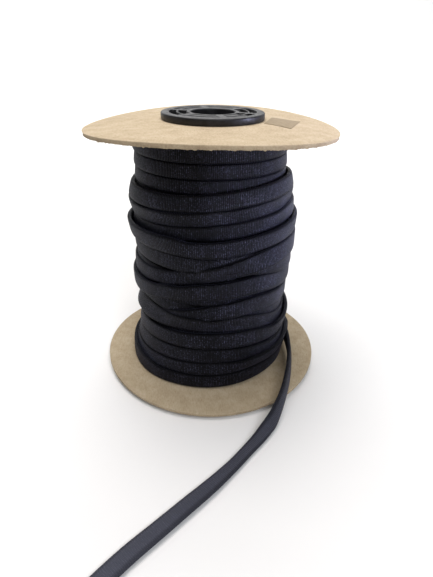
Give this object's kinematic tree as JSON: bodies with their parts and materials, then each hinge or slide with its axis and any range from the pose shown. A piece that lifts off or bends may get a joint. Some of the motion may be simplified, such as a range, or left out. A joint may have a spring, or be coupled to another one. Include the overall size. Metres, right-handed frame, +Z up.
{
  "type": "roll of flat cord on a spool",
  "caption": "Flat tubular cord wound in uneven turns on a standing spool with board discs and a moulded core, with a loose end that runs out over the surface.",
  "frame": {"origin": "middle of the spool's foot, on the surface that it stands on", "axes": "+Z up along the spool's axis, -Y towards the side that the picture shows, where the loose end runs out, +X to the right seen from there"},
  "size_m": [0.15, 0.2631, 0.1692],
  "materials": {
    "core_plastic": "black moulded plastic, satin",
    "board": "uncoated kraft-coloured board, matt",
    "cord": "black knitted tubular cord, slightly lustrous"
  },
  "bodies": {
    "root": {"core_bottom": "core_plastic", "core_top": "core_plastic", "disc_bottom": "board", "disc_top": "board", "winding": "cord", "loose_end": "cord"}
  },
  "joints": []
}
